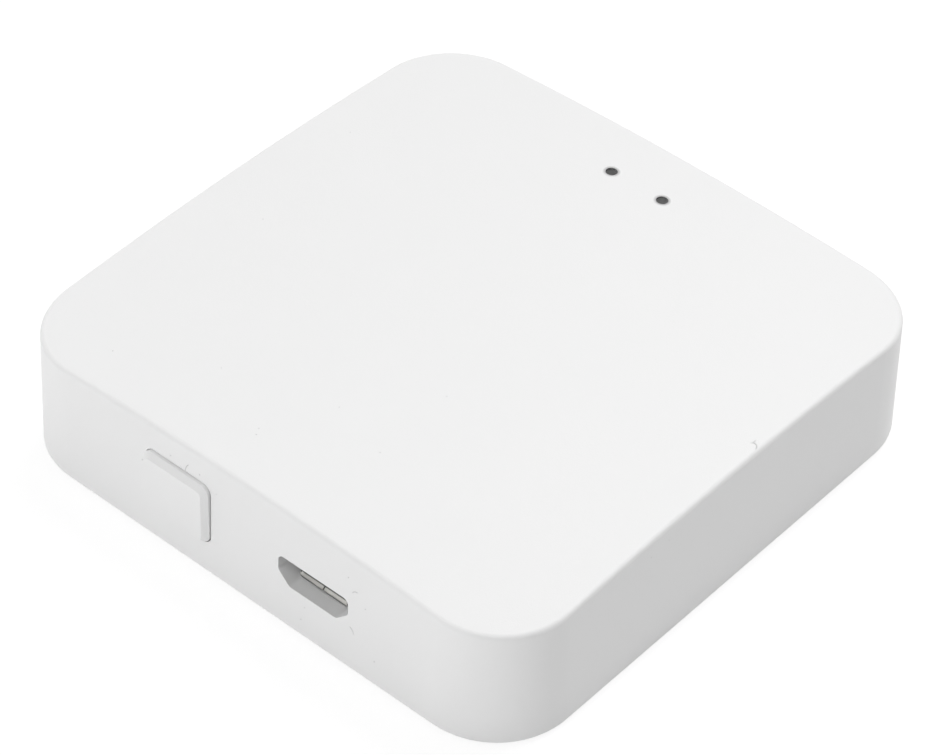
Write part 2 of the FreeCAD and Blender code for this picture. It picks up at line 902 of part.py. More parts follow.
def module_board(side, y):
    """A radio module's own board, with half-round solder pads along both long edges."""
    x = module_middle(side)
    half = module_width / 2
    top = board_top + module_thickness
    board = slab(rectangle(x, y, module_length, module_width), 0.3, board_top, top)
    inner_end = x - side * module_length / 2
    pads = []
    for i in range(pad_count):
        px = inner_end + side * pad_pitch * (i + 1)
        for py in (y - half, y + half):
            pads.append(upright(pad_radius, px, py, board_top - 1, top + 1))
    return board.cut(fuse(pads))


def can_places(side, y):
    inner_end = module_middle(side) - side * module_length / 2
    x = inner_end + side * (can_margin + can_length / 2)
    return x, y, can_length, module_width - 2 * can_margin


def shield_can(side, y):
    """A pressed lid over the module's chip, open below."""
    low = board_top + module_thickness
    x, y, length, width = can_places(side, y)
    lid = slab(rectangle(x, y, length, width), can_corner, low, low + can_height)
    rim = [e for e in lid.Edges if e.BoundBox.ZMin > low + can_height - 0.01]
    lid = lid.makeFillet(can_sheet * 1.5, rim)
    inside = rectangle(x, y, length - 2 * can_sheet, width - 2 * can_sheet)
    return lid.cut(slab(inside, can_corner - can_sheet, low - 1, low + can_height - can_sheet))


def radio_chip(side, y):
    x, y, _, _ = can_places(side, y)
    low = board_top + module_thickness
    return slab(rectangle(x, y, chip_side, chip_side), 0.1, low, low + chip_height)


def antenna(side, y):
    """The aerial: a copper track that turns to and fro at the module's outer end."""
    low = board_top + module_thickness
    high = low + trace_thickness
    end = module_middle(side) + side * (module_length / 2 - trace_margin)
    half_run = trace_pitch * trace_turns / 2
    near, far = end - side * trace_reach, end
    parts = []
    for i in range(trace_turns + 1):
        run_y = y - half_run + i * trace_pitch
        x_low, x_high = min(near, far), max(near, far)
        parts.append(box(x_low, x_high, run_y, run_y + trace_width, low, high))
        if i < trace_turns:
            at = far if i % 2 == 0 else near
            inside = at - side * trace_width if i % 2 == 0 else at + side * trace_width
            ends = sorted((at, inside))
            parts.append(box(*ends, run_y, run_y + trace_pitch + trace_width, low, high))
    return fuse(parts)


def regulator_body():
    low = board_top + lead_thickness
    points = rectangle(regulator_x, regulator_y, regulator_length, regulator_width)
    body = slab(points, 0.3, low, board_top + regulator_height)
    top = [e for e in body.Edges if e.BoundBox.ZMin > board_top + regulator_height - 0.01]
    return body.makeChamfer(0.2, top)


def regulator_leads():
    """The regulator's frame: a pad under its body, a wide tab behind and three leads in front."""
    high = board_top + lead_thickness
    front = regulator_y - regulator_width / 2
    rear = regulator_y + regulator_width / 2
    x = regulator_x
    parts = [box(x - tab_width / 2, x + tab_width / 2, front, rear + lead_reach, board_top, high)]
    for i in (-1, 0, 1):
        lead_x = x + i * lead_pitch
        near, far = lead_x - lead_width / 2, lead_x + lead_width / 2
        parts.append(box(near, far, front - lead_reach, front + embed, board_top, high))
    parts.append(box(x - lead_pitch, x + lead_pitch, front, front + embed, board_top, high))
    return fuse(parts)


def power_coil():
    points = rectangle(coil_x, coil_y, coil_side, coil_side)
    coil = slab(points, coil_corner, board_top, board_top + coil_height)
    ends = [e for e in coil.Edges if e.BoundBox.ZMin > board_top + coil_height - 0.01]
    return coil.makeFillet(coil_corner / 3, ends)


def capacitor_can():
    """The capacitor's drawn can, with the rolled groove near its foot."""
    low = board_top + capacitor_foot_height
    high = low + capacitor_height
    r, g = capacitor_radius, capacitor_groove
    profile = [
        (0, low), (r, low), (r, low + 2 * g), (r - g, low + 3 * g), (r, low + 4 * g),
        (r, high - g), (r - g, high), (0, high), (0, low),
    ]
    wire = Part.makePolygon([Vector(capacitor_x + x, capacitor_y, z) for x, z in profile])
    return Part.Face(wire).revolve(Vector(capacitor_x, capacitor_y, 0), UP, 360)


def capacitor_foot():
    half = capacitor_foot_side / 2
    cut = half / 3
    x, y = capacitor_x, capacitor_y
    points = [
        (x - half, y - half + cut), (x - half + cut, y - half), (x + half - cut, y - half),
        (x + half, y - half + cut), (x + half, y + half), (x - half, y + half),
    ]
    return slab(points, 0.2, board_top, board_top + capacitor_foot_height)


def power_diode():
    points = rectangle(diode_x, diode_y, diode_length, diode_width)
    body = slab(points, 0.4, board_top, board_top + diode_height)
    top = [e for e in body.Edges if e.BoundBox.ZMin > board_top + diode_height - 0.01]
    return body.makeChamfer(0.25, top)


def chip_part(x, y):
    """A small ceramic capacitor or resistor, which stands across its row."""
    points = rectangle(x, y, chip_part_width, chip_part_length)
    return slab(points, 0.1, board_top, board_top + chip_part_height)


def pieces():
    """Every piece of the gateway, by name."""
    made = {
        "top_shell": top_shell(),
        "base_plate": base_plate(),
        "button_cap": button_cap(),
        "main_board": main_board(),
        "usb_shell": usb_shell(),
        "usb_insulator": usb_insulator(),
        "switch_base": switch_base(),
        "switch_cover": switch_cover(),
        "switch_plunger": switch_plunger(),
        "switch_dome": switch_dome(),
        "switch_terminal_left": terminal(-1),
        "switch_terminal_right": terminal(1),
        "voltage_regulator": regulator_body(),
        "regulator_leads": regulator_leads(),
        "power_coil": power_coil(),
        "capacitor_can": capacitor_can(),
        "capacitor_foot": capacitor_foot(),
        "power_diode": power_diode(),
        "board_screws": Part.makeCompound([board_screw(x, y) for x, y in fixing_corners()[0]]),
    }
    corners = ("front_left", "front_right", "rear_left", "rear_right")
    for name, (x, y) in zip(corners, foot_centres()):
        made["foot_" + name] = foot(x, y)
    for name, x in zip(("left", "right"), lamp_places):
        made["lamp_" + name] = lamp(x)
        made["light_rod_" + name] = light_rod(x)
    for name, side, y in (("wifi", -1, wifi_y), ("zigbee", 1, zigbee_y)):
        made[name + "_board"] = module_board(side, y)
        made[name + "_shield"] = shield_can(side, y)
        made[name + "_chip"] = radio_chip(side, y)
        made[name + "_antenna"] = antenna(side, y)
    for i in range(contact_count):
        made["usb_contact_%d" % (i + 1)] = contact(i)
    for i in range(ceramic_count):
        x = ceramic_first_x + i * chip_part_pitch
        made["ceramic_capacitor_%d" % (i + 1)] = chip_part(x, ceramic_y)
    for i in range(resistor_count):
        x = resistor_first_x + i * chip_part_pitch
        made["resistor_%d" % (i + 1)] = chip_part(x, resistor_y)
    return made


def main():
    os.makedirs("parts", exist_ok=True)
    for name, shape in pieces().items():
        shape.exportStep("parts/" + name + ".step")
        print(name, len(shape.Solids), round(shape.Volume, 3), shape.isValid())


main()
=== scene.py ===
# %% [markdown]
# A square radio gateway in matt white plastic, photographed as in a studio
#
# The gateway is a crowned plastic cup, 60 mm a side, with a base clipped into its rim, a push button
# and a power socket in the front wall, and two tiny indicator windows on top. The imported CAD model
# already holds every piece at its true size, in metres, so this notebook doesn't model the casing
# again. It gives each piece the finish of its real material, adds what a CAD model leaves out, such
# as the dust and fibres on an object in use, and then builds the camera, the floor and the lamps.
# X runs to the right along the front wall, Y from the front wall to the rear, and Z up.

import json
import math

import bpy
from mathutils import Matrix, Vector


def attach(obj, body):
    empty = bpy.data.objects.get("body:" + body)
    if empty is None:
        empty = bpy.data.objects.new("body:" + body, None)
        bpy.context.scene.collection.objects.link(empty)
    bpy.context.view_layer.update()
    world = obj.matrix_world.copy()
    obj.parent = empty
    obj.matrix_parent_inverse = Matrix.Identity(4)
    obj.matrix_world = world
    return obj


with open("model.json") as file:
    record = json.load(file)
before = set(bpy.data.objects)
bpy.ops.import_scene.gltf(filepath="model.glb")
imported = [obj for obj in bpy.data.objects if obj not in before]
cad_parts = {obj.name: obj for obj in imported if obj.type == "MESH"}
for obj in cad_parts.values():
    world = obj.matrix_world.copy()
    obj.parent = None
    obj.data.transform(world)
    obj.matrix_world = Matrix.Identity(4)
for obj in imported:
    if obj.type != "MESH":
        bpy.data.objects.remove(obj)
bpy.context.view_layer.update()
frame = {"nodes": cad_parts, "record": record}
pieces = frame["nodes"]
scene = bpy.context.scene

# %% [markdown]
# The camera stands where the photographer's stood: to the right of the front wall and 43 degrees
# above the shelf. Its direction, distance and lens were fitted to the outline of the casing in the
# photograph, so that render and photograph can be laid over each other. A long lens keeps the far
# edges almost parallel, as in a product picture. A Track To constraint could aim the camera, but
# its three axes, built by hand, also give it the slight roll of the real picture.

# %% Camera
AZIMUTH = math.radians(39.7702)
ELEVATION = math.radians(43.2269)
ROLL = math.radians(2.1095)
DISTANCE = 0.3377544
SIDE_SHIFT = 0.0000293
RISE_SHIFT = 0.004194
FOOT_STAND = 0.0003
FOCAL_PIXELS = 3671.2772
PHOTO_WIDTH = 942
SENSOR = 36.0

back = Vector((
    math.sin(AZIMUTH) * math.cos(ELEVATION),
    -math.cos(AZIMUTH) * math.cos(ELEVATION),
    math.sin(ELEVATION),
))
right = Vector((math.cos(AZIMUTH), math.sin(AZIMUTH), 0))
up = back.cross(right)
rolled_right = math.cos(ROLL) * right + math.sin(ROLL) * up
rolled_up = -math.sin(ROLL) * right + math.cos(ROLL) * up
place = back * DISTANCE + rolled_right * SIDE_SHIFT + rolled_up * RISE_SHIFT
place.z += FOOT_STAND

lens = bpy.data.cameras.new("camera")
camera = bpy.data.objects.new("camera", lens)
scene.collection.objects.link(camera)
axes = Matrix((rolled_right, rolled_up, back)).transposed()
camera.matrix_world = Matrix.Translation(place) @ axes.to_4x4()
lens.sensor_width = SENSOR
lens.lens = FOCAL_PIXELS / PHOTO_WIDTH * SENSOR
lens.clip_start = 0.01
lens.clip_end = 20
scene.camera = camera
print("lens of", round(lens.lens, 1), "mm at", round(place.length, 3), "m")

# %% [markdown]
# Materials are built from nodes, and a sum between sockets soon needs a dozen Math nodes. A small
# class that wraps a socket lets such sums be written as plain Python, such as 1 - mask * height,
# and adds the Math nodes itself. A second class holds one material, and its add method makes every
# other node. Numbers alone are multiplied in Python, and colours go through Mix nodes, because a
# Math node would turn them grey.

# %% A socket that can be calculated with
class Wire:
    """An output socket in a material. Sums with it add Math nodes."""

    def __init__(self, finish, socket):
        self.finish = finish
        self.socket = socket

    def maths(self, operation, first, second):
        settings = {"operation": operation}
        return self.finish.add("ShaderNodeMath", settings, {0: first, 1: second})

    def __add__(self, other):
        return self.maths("ADD", self, other)

    def __radd__(self, other):
        return self.maths("ADD", other, self)

    def __sub__(self, other):
        return self.maths("SUBTRACT", self, other)

    def __rsub__(self, other):
        return self.maths("SUBTRACT", other, self)

    def __mul__(self, other):
        return self.maths("MULTIPLY", self, other)

    def __rmul__(self, other):
        return self.maths("MULTIPLY", other, self)

    def __lt__(self, other):
        return self.maths("LESS_THAN", self, other)

    def __gt__(self, other):
        return self.maths("GREATER_THAN", self, other)


print("wrapped sockets can be added, subtracted, multiplied and compared")


# %% A material that grows node by node
class Finish:
    """One material with a Principled shader, to which nodes are added."""

    def __init__(self, name, **constants):
        self.material = bpy.data.materials.new(name)
        self.material.use_nodes = True
        self.tree = self.material.node_tree
        self.shader = self.tree.nodes["Principled BSDF"]
        self.place = self.add("ShaderNodeTexCoord", output="Object")
        self.feed(**constants)

    def add(self, kind, settings=None, sockets=None, output=0):
        """Adds a node. Its settings are set first, and then its sockets are set or linked."""
        node = self.tree.nodes.new(kind)
        for name, value in (settings or {}).items():
            setattr(node, name, value)
        for name, value in (sockets or {}).items():
            self.plug(node.inputs[name], value)
        return Wire(self, node.outputs[output])

    def plug(self, socket, value):
        if isinstance(value, Wire):
            self.tree.links.new(value.socket, socket)
        else:
            socket.default_value = value

    def feed(self, **sockets):
        """Sets or links sockets of the shader, named with _ for a space."""
        for name, value in sockets.items():
            self.plug(self.shader.inputs[name.replace("_", " ")], value)

    def put_on(self, *names):
        """Gives this finish to CAD pieces, in place of the plain one that they came with."""
        for name in names:
            pieces[name].data.materials.clear()
            pieces[name].data.materials.append(self.material)
        print(self.material.name, "on", len(names), "pieces,", len(self.tree.nodes), "nodes")


# %% [markdown]
# A few patterns come back in almost every finish. Grain is noise with lumps of a given size, read
# from the object's own coordinates, so that it stays on a piece wherever the piece moves. A relief
# turns a height into a tilt of the surface's normal, which costs no faces. A maker thinks of
# a texture in millimetres, so these helpers take millimetres and turn them into metres.

# %% Patterns that finishes share
MM = 0.001


def grain(finish, size, detail=2.0, stretch=(1, 1, 1)):
    """Noise from 0 to 1 whose lumps are about size millimetres across."""
    scaled = finish.add("ShaderNodeMapping", {}, {"Vector": finish.place, "Scale": stretch})
    sockets = {"Vector": scaled, "Scale": 1 / (size * MM), "Detail": detail}
    return finish.add("ShaderNodeTexNoise", {}, sockets)


def blend(finish, mask, below, above):
    """One colour where the mask is 0 and the other where it is 1."""
    sockets = {0: mask, 6: below, 7: above}
    return finish.add("ShaderNodeMix", {"data_type": "RGBA"}, sockets, output=2)


def ramp(finish, value, low, high):
    """Stretches the part of a value from low to high to the range 0 to 1."""
    sockets = {"Value": value, "From Min": low, "From Max": high}
    return finish.add("ShaderNodeMapRange", {}, sockets)


def relief(finish, height, depth, strength=1.0):
    """A tilted normal for a height map whose full range is depth millimetres."""
    sockets = {"Height": height, "Distance": depth * MM, "Strength": strength}
    return finish.add("ShaderNodeBump", {}, sockets)


def distance(finish, point):
    """The distance in metres from a point given in millimetres."""
    spot = tuple(value * MM for value in point)
    sockets = {0: finish.place, 1: spot}
    return finish.add("ShaderNodeVectorMath", {"operation": "DISTANCE"}, sockets, output="Value")


def grey(level):
    return (level, level, level, 1)


print("patterns ready, in units of", MM, "m")

# %% [markdown]
# The casing is moulded in white plastic in a spark-eroded mould, which leaves an even, very fine
# matt grain and no gloss. From a step away that grain only softens the highlights, so it is a bump a
# hundredth of a millimetre deep with lumps about a pixel wide. The tone of moulded plastic hardly
# varies, so one large soft noise shifts it by less than a hundredth. The button comes from another
# mould, and the base from a third, so each gets its own tone from the same recipe.

# %% White moulded plastic
def white_plastic(name, level, roughness, depth):
    """Matt white plastic with a spark grain. level is its tone, from 0 to 1."""
    finish = Finish(name, IOR=1.46)
    spark = grain(finish, 0.13, 3.0)
    cloud = grain(finish, 9.0)
    finish.tone = blend(finish, cloud, grey(level - 0.006), grey(level + 0.006))
    finish.normal = relief(finish, spark, depth)
    roughness = (roughness - 0.05) + 0.1 * spark
    finish.feed(Base_Color=finish.tone, Roughness=roughness, Normal=finish.normal)
    return finish


shell = white_plastic("shell_plastic", 0.86, 0.48, 0.012)
key = white_plastic("button_plastic", 0.86, 0.48, 0.01)
base = white_plastic("base_plastic", 0.84, 0.55, 0.015)
key.put_on("button_cap")

# %% [markdown]
# An object that has been handled carries dust. On this casing it sits as dark specks in the grain.
# Random specks come from a Voronoi texture: each cell has one point, and only the ground within a
# few hundredths of a millimetre of it is dark. The larger ones on the front wall and on the top are
# placed one by one, each as a small ball of darkness on the surface. Round each indicator window
# the plastic's colour is painted darker in a soft grey ring, a painted shade at the dark hole, which
# fades out from the hole's own edge. The windows' places come from the frame.

# %% Dust in the casing's grain, and painted shade round the windows
SPECKS = [
    (-20.3, -25.3, 13.8, 0.07), (15.2, -29.9, 3.3, 0.06), (14.0, -29.8, 8.8, 0.06),
    (-12.4, -29.8, 8.8, 0.07), (-8.9, -29.7, 11.6, 0.06), (-5.4, -29.7, 11.6, 0.06),
    (-3.4, -29.7, 10.6, 0.05), (6.7, -29.9, 2.4, 0.07), (7.1, -29.9, 4.1, 0.05),
    (12.0, -29.7, 11.2, 0.06), (9.1, -29.8, 5.6, 0.07), (-3.3, -24.8, 14.3, 0.06),
]
SPECK_CELL = 3.2
SPECK_RADIUS = 0.045
SPECK_SHADE = 0.62
RIM_START = 0.55
RIM_REACH = 0.88
RIM_PAINTED_SHADE = 0.8
DUST_AND_SHADE_TONE = 0.2


def random_specks(finish, cell, radius):
    """Dark points in the surface, one in some of the cells of a given size in millimetres."""
    sockets = {"Vector": finish.place, "Scale": 1 / (cell * MM)}
    nearest = finish.add("ShaderNodeTexVoronoi", {}, sockets)
    return nearest < radius / cell


def top_of(name):
    """The middle of a CAD piece's highest face, in millimetres."""
    corners = [Vector(corner) for corner in pieces[name].bound_box]
    low, high = min(c.x for c in corners), max(c.x for c in corners)
    near, far = min(c.y for c in corners), max(c.y for c in corners)
    return ((low + high) / 2 / MM, (near + far) / 2 / MM, max(c.z for c in corners) / MM)


dust = random_specks(shell, SPECK_CELL, SPECK_RADIUS)
for *spot, radius in SPECKS:
    dust = dust + (distance(shell, spot) < radius * MM)
dust_and_shade = SPECK_SHADE * dust
# Round each window the colour is painted darker in a soft ring: painted shade at the hole's edge.
for window in ("light_rod_left", "light_rod_right"):
    away = distance(shell, top_of(window))
    dust_and_shade = dust_and_shade + RIM_PAINTED_SHADE * ramp(shell, away, RIM_REACH * MM, RIM_START * MM)
shell.feed(Base_Color=blend(shell, dust_and_shade, shell.tone, grey(DUST_AND_SHADE_TONE)))
shell.put_on("top_shell")
print(len(SPECKS), "specks placed by hand")

# %% [markdown]
# The base is plain, but a mould leaves marks on every part that it makes. The pins that push the
# warm base out of the mould leave shallow round dents, and the point where the plastic was fed in
# stays as a small rough nub. Both are flat enough to be drawn as relief: the dents as discs round
# four points, and the nub as a small raised disc in the middle.

# %% Mould marks under the base
EJECTOR_RADIUS = 2.2
EJECTORS = [(-13.0, 0.0, 0.3), (13.0, 0.0, 0.3), (0.0, -14.0, 0.3), (0.0, 14.0, 0.3)]
GATE = (0.0, 0.0, 0.3)
GATE_RADIUS = 0.9
MARK_DEPTH = 0.06

dents = 0
for point in EJECTORS:
    away = distance(base, point)
    dents = dents + ramp(base, away, EJECTOR_RADIUS * MM, 0.94 * EJECTOR_RADIUS * MM)
nub = ramp(base, distance(base, GATE), GATE_RADIUS * MM, 0.8 * GATE_RADIUS * MM)
marked = {"Height": nub - dents, "Distance": MARK_DEPTH * MM, "Normal": base.normal}
base.feed(Normal=base.add("ShaderNodeBump", {}, marked))
base.put_on("base_plate")

# %% [markdown]
# The switch's cover, the lids over the radio chips, the screws and the capacitor's can are bent or
# drawn from thin metal. Rolling leaves fine streaks along the sheet, and its skin dulls unevenly.
# One recipe covers them, with other tones and streak sizes. Stretching the noise along one axis
# turns lumps into streaks, which is how the brushing is drawn.

# %% Metals
def sheet_metal(name, tone, roughness, streak, stretch, depth):
    """Metal with streaks streak millimetres apart. tone is its colour, from 0 to 1."""
    finish = Finish(name)
    streaks = grain(finish, streak, 3.0, stretch)
    stain = ramp(finish, grain(finish, 1.1), 0.35, 0.7)
    dull = tuple(0.82 * value for value in tone)
    finish.tone = blend(finish, stain, dull + (1,), tone + (1,))
    finish.feed(
        Base_Color=finish.tone,
        Metallic=1.0,
        Roughness=roughness + 0.18 * streaks,
        Normal=relief(finish, streaks, depth),
    )
    return finish


TIN = (0.72, 0.72, 0.71)
sheet_metal("switch_metal", TIN, 0.25, 0.12, (1, 0.12, 1), 0.006).put_on(
    "switch_cover", "switch_dome"
)
sheet_metal("can_metal", (0.68, 0.68, 0.66), 0.3, 0.2, (0.1, 1, 1), 0.008).put_on(
    "wifi_shield", "zigbee_shield", "regulator_leads"
)
sheet_metal("screw_steel", (0.56, 0.57, 0.6), 0.28, 0.15, (1, 1, 1), 0.01).put_on("board_screws")
sheet_metal("can_aluminium", (0.8, 0.8, 0.81), 0.22, 0.1, (1, 1, 0.08), 0.005).put_on(
    "capacitor_can"
)
GOLD = (0.83, 0.6, 0.26)
sheet_metal("contact_metal", GOLD, 0.2, 0.1, (1, 0.1, 1), 0.003).put_on(
    *["usb_contact_%d" % number for number in range(1, 6)],
    "switch_terminal_left", "switch_terminal_right",
)
COPPER = (0.72, 0.36, 0.18)
sheet_metal("track_copper", COPPER, 0.3, 0.15, (1, 1, 1), 0.004).put_on(
    "wifi_antenna", "zigbee_antenna"
)

# %% [markdown]
# The socket in the opening is rolled from the same tinned sheet, with its seam in the middle below.
# Only its lips catch the light. Behind them the mouth is painted dark, as painted shade for the
# socket's shadowed inside, and so are the seam, the sheet's lower edge and the lip's far corner.
# These are places and not patterns, so each is a mask on the object's own coordinates, measured in
# millimetres from the middle of the socket's mount. Where the shade is painted the metallic value
# goes down too, so that these places stay dark.

# %% The socket's mouth
SEAM_WIDTH = 0.12
LIP_DEPTH = (1.66, 1.74)
LIP_EDGE = 1.29
LIP_END = 2.64
LIP_FRONT = 1.56
MOUTH_SHADE = 0.012

mouth = sheet_metal("socket_metal", (0.7, 0.69, 0.66), 0.42, 0.12, (1, 0.12, 1), 0.006)
mounts = {mount["name"]: Vector(mount["pos_m"]) for mount in frame["record"]["mounts"]}
settings = {"operation": "SUBTRACT"}
sockets = {0: mouth.place, 1: mounts["power_socket"]}
offset = mouth.add("ShaderNodeVectorMath", settings, sockets)
across, depth, height = [
    mouth.add("ShaderNodeSeparateXYZ", {}, {"Vector": offset}, output=axis) for axis in "XYZ"
]
half = SEAM_WIDTH / 2 * MM
seam = (across > -half) * (across < half) * (height < 0)
edge = height < -LIP_EDGE * MM
corner = (across < -LIP_END * MM) * (height < 0) * (depth > LIP_FRONT * MM)
inside = ramp(mouth, depth, LIP_DEPTH[0] * MM, LIP_DEPTH[1] * MM)
# The mask paints shade: the mouth, the seam, the lower edge and the far corner get a dark colour and
# no metal.
unshaded = (1 - inside) * (1 - seam) * (1 - edge) * (1 - corner)
mouth.feed(Base_Color=blend(mouth, unshaded, grey(MOUTH_SHADE), mouth.tone), Metallic=unshaded)
mouth.put_on("usb_shell")

# %% [markdown]
# A circuit board is woven glass under a thin coloured lacquer. The weave shows through as a faint
# grid, and copper tracks under the lacquer show as paler, slightly raised lines. Two crossed Wave
# textures give the weave. Tracks run straight and side by side, so a Brick texture turned into long
# thin bricks draws them: its mortar lines are the bare gaps between the tracks.

# %% Circuit boards
def lacquered_board(name, ground, track):
    """A lacquered board with its glass weave and its tracks."""
    finish = Finish(name, IOR=1.5)
    weave = 0
    for direction in ("X", "Y"):
        settings = {"bands_direction": direction}
        sockets = {"Vector": finish.place, "Scale": 1 / (2.4 * MM), "Distortion": 0.6}
        weave = weave + finish.add("ShaderNodeTexWave", settings, sockets)
    sockets = {
        "Vector": finish.place, "Scale": 1 / (9 * MM), "Mortar Size": 0.035, "Mortar Smooth": 0.2,
        "Brick Width": 1.3, "Row Height": 0.11,
    }
    gaps = finish.add("ShaderNodeTexBrick", {"offset": 0.37}, sockets, output="Fac")
    areas = ramp(finish, grain(finish, 7.0, 0.0), 0.47, 0.53)
    tracks = areas * (1 - gaps)
    finish.feed(
        Base_Color=blend(finish, 0.75 * tracks + 0.12 * weave, ground, track),
        Roughness=0.32 + 0.12 * tracks,
        Normal=relief(finish, tracks + 0.15 * weave, 0.02),
    )
    return finish


lacquered_board("board_mask", (0.02, 0.13, 0.05, 1), (0.06, 0.27, 0.1, 1)).put_on("main_board")
lacquered_board("module_mask", (0.01, 0.03, 0.13, 1), (0.03, 0.09, 0.28, 1)).put_on(
    "wifi_board", "zigbee_board"
)

# %% [markdown]
# The small parts are moulded or fired: black epoxy round the chips, black nylon in the socket and
# the switch, tan ceramic, and pale resin round the lamps. Epoxy is blasted to an even grain, nylon
# has a slight sheen, and ceramic is mottled. One recipe with two tones and a grain size covers
# them, because they differ in tone, lump size and gloss and in nothing else that the eye can see.

# %% Moulded and fired parts
def moulded(name, low, high, lump, roughness, depth, **constants):
    """A mottled material between two tones, with lumps of a size in millimetres."""
    finish = Finish(name, **constants)
    mottle = ramp(finish, grain(finish, lump, 3.0), 0.3, 0.7)
    finish.feed(
        Base_Color=blend(finish, mottle, low + (1,), high + (1,)),
        Roughness=(roughness - 0.06) + 0.12 * mottle,
        Normal=relief(finish, mottle, depth),
    )
    return finish


moulded("part_black", (0.014, 0.014, 0.015), (0.03, 0.03, 0.032), 0.12, 0.55, 0.01).put_on(
    "voltage_regulator", "power_coil", "capacitor_foot", "power_diode", "wifi_chip", "zigbee_chip",
    *["resistor_%d" % number for number in range(1, 7)],
)
moulded("socket_plastic", (0.012, 0.012, 0.012), (0.022, 0.022, 0.022), 0.3, 0.35, 0.004).put_on(
    "usb_insulator"
)
moulded("switch_plastic", (0.015, 0.015, 0.016), (0.026, 0.026, 0.028), 0.25, 0.4, 0.006).put_on(
    "switch_base"
)
moulded("plunger_plastic", (0.66, 0.64, 0.58), (0.72, 0.7, 0.64), 0.3, 0.42, 0.004).put_on(
    "switch_plunger"
)
moulded("lamp_case", (0.74, 0.72, 0.62), (0.82, 0.8, 0.7), 0.2, 0.25, 0.003).put_on(
    "lamp_left", "lamp_right"
)
moulded("ceramic_tan", (0.24, 0.15, 0.07), (0.36, 0.24, 0.13), 0.18, 0.5, 0.006).put_on(
    *["ceramic_capacitor_%d" % number for number in range(1, 7)]
)
moulded("foot_rubber", (0.3, 0.3, 0.295), (0.37, 0.37, 0.365), 0.35, 0.8, 0.03).put_on(
    "foot_front_left", "foot_front_right", "foot_rear_left", "foot_rear_right"
)

# %% [markdown]
# Each indicator window is the end of a clear rod, which stands in a tube under the casing's top and
# carries the light of a lamp on the board upwards. With the lamp off the rod shows the darkness of
# that tube. Its end is moulded a little frosted, so it has a rough grain over clear plastic, and
# a slight smoke tint keeps it dark, as in the photograph.

# %% Clear light rods
rod = Finish("rod_clear", Transmission_Weight=1.0, IOR=1.57, Base_Color=(0.74, 0.75, 0.76, 1))
frost = grain(rod, 0.1, 2.0)
rod.feed(Roughness=0.26 + 0.14 * frost, Normal=relief(rod, frost, 0.004))
rod.put_on("light_rod_left", "light_rod_right")

# %% [markdown]
# A few textile fibres cling to the casing: one over the button, two by the right end of the opening,
# and a forked one on the top near the right edge. Each is an arc about a millimetre long, so it is
# made as a six-sided disc that is spun round a centre. The disc stands on the surface, so that half
# of the fibre's thickness lies in the grain, as a fibre that clings does.

# %% Fibres
FIBRE_THICKNESS = 0.04
FIBRES = {
    "fibre_button": ((-5.72, -29.71, 10.95), "front", 1.39, -179, -44),
    "fibre_opening": ((13.09, -29.75, 9.51), "front", 0.61, 160, -73),
    "fibre_corner": ((12.06, -29.87, 4.87), "front", 0.69, 67, -74),
    "fibre_top": ((28.85, 3.39, 14.05), "top", 0.4, 153, -159),
    "fibre_top_fork": ((30.03, 4.02, 14.06), "top", 1.4, -167, -19),
}


def fibre(name, centre, face, radius, start, sweep):
    """An arc that lies on the front wall or on the top. Angles are in degrees, from +X."""
    bpy.ops.object.select_all(action="DESELECT")
    turn = math.radians(start)
    across = Vector((0, 0, 1)) if face == "front" else Vector((0, 1, 0))
    axis = Vector((0, 1, 0)) if face == "front" else Vector((0, 0, -1))
    middle = Vector(centre) * MM
    arm = Vector((math.cos(turn), 0, 0)) + across * math.sin(turn)
    tangent = axis.cross(arm)
    bpy.ops.mesh.primitive_circle_add(
        vertices=6,
        radius=FIBRE_THICKNESS / 2 * MM,
        fill_type="NGON",
        location=middle + arm * radius * MM,
        rotation=tangent.to_track_quat("Z", "Y").to_euler(),
    )
    hair = bpy.context.object
    hair.name = name
    bpy.ops.object.transform_apply()
    bpy.ops.object.mode_set(mode="EDIT")
    bpy.ops.mesh.spin(steps=9, angle=math.radians(sweep), center=middle, axis=axis)
    bpy.ops.mesh.select_all(action="SELECT")
    bpy.ops.mesh.remove_doubles(threshold=0.001 * MM)
    bpy.ops.mesh.normals_make_consistent(inside=False)
    bpy.ops.object.mode_set(mode="OBJECT")
    bpy.ops.object.shade_smooth_by_angle()
    hair.data.materials.append(lint.material)
    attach(hair, "housing")


lint = moulded("lint", (0.3, 0.3, 0.3), (0.46, 0.46, 0.46), 0.1, 0.85, 0.004)
for name, values in FIBRES.items():
    fibre(name, *values)
print(len(FIBRES), "fibres,", FIBRE_THICKNESS, "mm thick")

# %% [markdown]
# The picture has a pure white ground, while the casing is lit gently enough to keep its own greys.
# Both work together because the floor answers two questions in two ways. To the lamps it is a white
# table that throws light up at the walls, which is why they darken so little towards their feet. To
# the camera, and in metal and glass, it has some light of its own as well, which lifts it to white
# and leaves only a faint shadow under the casing. The Light Path node tells the rays apart.

# %% Floor
FLOOR_SIZE = 6.0
FLOOR_TONE = 0.9
SEEN_TONE = 0.2
SEEN_GLOW = 0.86


def seen_rays(tree):
    """1 for rays of the camera and rays that left gloss or glass, and 0 for diffuse light."""
    path = tree.nodes.new("ShaderNodeLightPath")
    total = path.outputs["Is Camera Ray"]
    for name in ("Is Glossy Ray", "Is Transmission Ray"):
        either = tree.nodes.new("ShaderNodeMath")
        either.operation = "MAXIMUM"
        tree.links.new(total, either.inputs[0])
        tree.links.new(path.outputs[name], either.inputs[1])
        total = either.outputs[0]
    return total


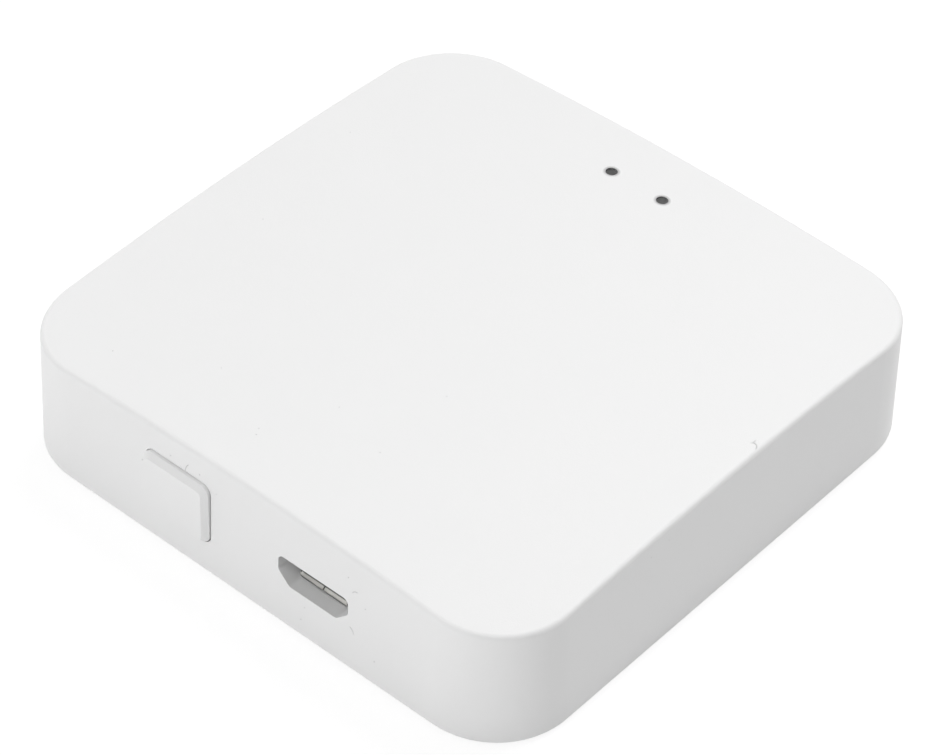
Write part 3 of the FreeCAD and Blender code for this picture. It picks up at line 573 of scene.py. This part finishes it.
bpy.ops.object.select_all(action="DESELECT")
bpy.ops.mesh.primitive_plane_add(size=FLOOR_SIZE)
floor = bpy.context.object
floor.name = "floor"
ground = Finish("studio_floor")
tree = ground.tree
tree.nodes.remove(ground.shader)
lit = ground.add("ShaderNodeBsdfDiffuse", {}, {"Color": grey(FLOOR_TONE)})
pale = ground.add("ShaderNodeBsdfDiffuse", {}, {"Color": grey(SEEN_TONE)})
glow = ground.add("ShaderNodeEmission", {}, {"Color": grey(1), "Strength": SEEN_GLOW})
white = ground.add("ShaderNodeAddShader", {}, {0: pale, 1: glow})
mixed = ground.add("ShaderNodeMixShader", {}, {1: lit, 2: white})
tree.links.new(seen_rays(tree), mixed.socket.node.inputs[0])
tree.links.new(mixed.socket, tree.nodes["Material Output"].inputs["Surface"])
floor.data.materials.append(ground.material)
print("floor of", FLOOR_SIZE, "m, tone", FLOOR_TONE, "to the lamps")

# %% [markdown]
# The world is a plain white tent, which fills the shadows from all round without a highlight of its
# own, and so reaches into the opening. It gives about a quarter of a full white. As for the floor,
# rays that the camera sees get full white, so that the background stays white at any angle.

# %% World
TENT = 0.24

scene.view_settings.view_transform = "Standard"
world = bpy.data.worlds.new("studio_tent")
scene.world = world
world.use_nodes = True
tree = world.node_tree
tent = tree.nodes["Background"]
tent.inputs["Color"].default_value = grey(1)
tent.inputs["Strength"].default_value = TENT
seen = tree.nodes.new("ShaderNodeBackground")
seen.inputs["Color"].default_value = grey(1)
seen.inputs["Strength"].default_value = 1.0
choice = tree.nodes.new("ShaderNodeMixShader")
tree.links.new(seen_rays(tree), choice.inputs[0])
tree.links.new(tent.outputs[0], choice.inputs[1])
tree.links.new(seen.outputs[0], choice.inputs[2])
tree.links.new(choice.outputs[0], tree.nodes["World Output"].inputs["Surface"])
print("tent at", TENT)

# %% [markdown]
# Soft boxes do the modelling of the form. Each is a square lamp aimed at the casing, and large for
# its distance, so that no edge throws a hard shadow. The largest stands behind and high, and gives
# the top its soft rise in tone towards the front corner. Three in front, one above the other, light
# the front wall and the opening, and two weak ones at the sides round off the corners. The right
# wall gets little, as in the photograph, where it is the darkest side. Their strengths were found by
# comparing the tone of each wall and corner with the photograph. They are hidden from the camera, so
# that no other view shows them.

# %% Soft boxes
LAMPS = {
    "rear": (180, 55, 1.4, 1.0, 14.2),
    "front_high": (0, 60, 0.7, 0.3, 0.88),
    "front_middle": (-10, 25, 0.7, 0.3, 0.47),
    "front_low": (-5, 3, 0.7, 0.3, 1.28),
    "left_low": (-70, 8, 0.7, 0.3, 0.36),
    "right_low": (95, 4, 0.7, 0.3, 0.15),
}
TARGET = Vector((0, 0, 0.008))


def soft_box(name, azimuth, elevation, reach, side, power):
    """A square lamp. Azimuth 0 is in front of the front wall, and 90 to the right."""
    turn, rise = math.radians(azimuth), math.radians(elevation)
    towards = Vector((
        math.sin(turn) * math.cos(rise), -math.cos(turn) * math.cos(rise), math.sin(rise)
    ))
    light = bpy.data.lights.new(name, "AREA")
    light.shape = "SQUARE"
    light.size = side
    light.energy = power
    lamp = bpy.data.objects.new(name, light)
    scene.collection.objects.link(lamp)
    lamp.location = TARGET + towards * reach
    lamp.rotation_euler = towards.to_track_quat("Z", "Y").to_euler()
    lamp.visible_camera = False


for name, values in LAMPS.items():
    soft_box(name, *values)
print(len(LAMPS), "soft boxes")
